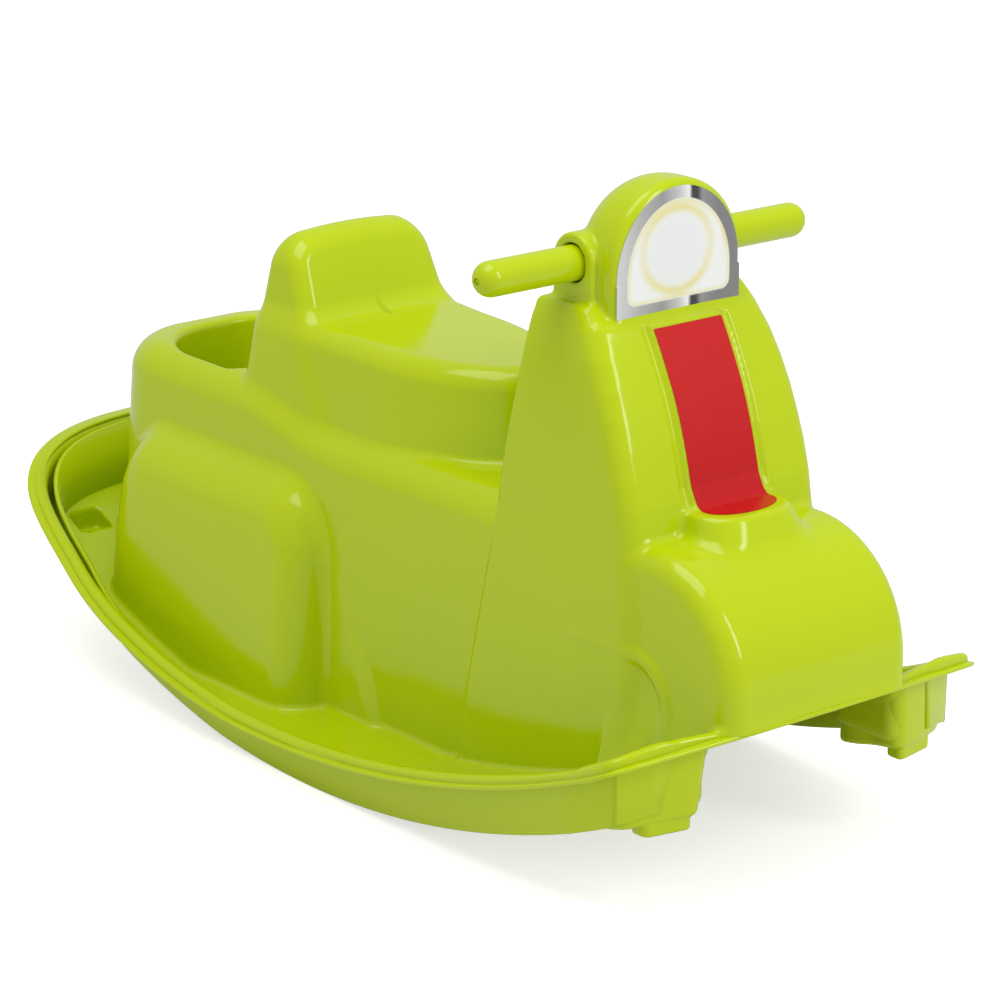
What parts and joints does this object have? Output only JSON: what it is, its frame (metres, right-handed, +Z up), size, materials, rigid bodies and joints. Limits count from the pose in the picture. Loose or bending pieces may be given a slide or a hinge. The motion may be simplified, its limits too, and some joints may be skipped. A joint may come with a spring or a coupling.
{
  "type": "rocking scooter",
  "caption": "Child's rocking scooter: hollow moulded body on curved rails with a seat, storage well, footrests, headlight head and a turning handlebar.",
  "frame": {"origin": "centre of the footprint on the floor, under the lowest line of the rocker rails", "axes": "+Z up, -Y forward past the headlight, +X to the rider's left"},
  "size_m": [0.342, 0.8035, 0.4603],
  "materials": {
    "lime_plastic": "gloss",
    "sleeve_plastic": "moulded",
    "screw_steel": "zinc plated",
    "headlight_print": "printed film",
    "red_print": "printed film"
  },
  "bodies": {
    "frame": {"body_shell": "lime_plastic", "headlight_label": "headlight_print", "shield_label": "red_print"},
    "handlebar": {"grip_left": "lime_plastic", "grip_right": "lime_plastic", "handlebar_sleeve": "sleeve_plastic", "sleeve_screw_left": "screw_steel", "sleeve_screw_right": "screw_steel"}
  },
  "joints": [
    {"name": "handlebar_turn", "type": "hinge", "parent": "frame", "child": "handlebar", "pos_m": [0, -0.213, 0.406], "axis": [1, 0, 0], "continuous": true}
  ]
}
